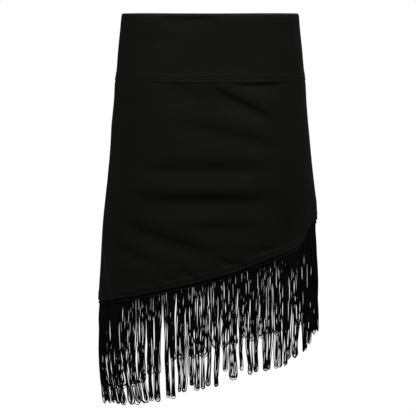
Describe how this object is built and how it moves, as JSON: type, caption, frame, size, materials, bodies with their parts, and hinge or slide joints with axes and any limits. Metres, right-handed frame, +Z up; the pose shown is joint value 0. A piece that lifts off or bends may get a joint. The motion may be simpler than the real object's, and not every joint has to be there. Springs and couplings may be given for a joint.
{
  "type": "asymmetric skirt",
  "caption": "Hollow pull-on skirt in its worn form, with a wide waistband, a hem that slants up to one side and a fringe of looped cords.",
  "frame": {"origin": "centre of the waist opening, level with the waistband's top edge", "axes": "+Z up out of the waist opening, -Y the way the front faces, -X the side where the hem is lowest"},
  "size_m": [0.3454, 0.2445, 0.6076],
  "materials": {
    "cloth": "black double-knit stretch cloth, smooth with a soft dull sheen",
    "cord": "black chain-knit fringe cord, dull"
  },
  "bodies": {
    "root": {"waistband_front": "cloth", "panel_front": "cloth", "fringe_front": "cord", "waistband_back": "cloth", "panel_back": "cloth", "fringe_back": "cord"}
  },
  "joints": []
}
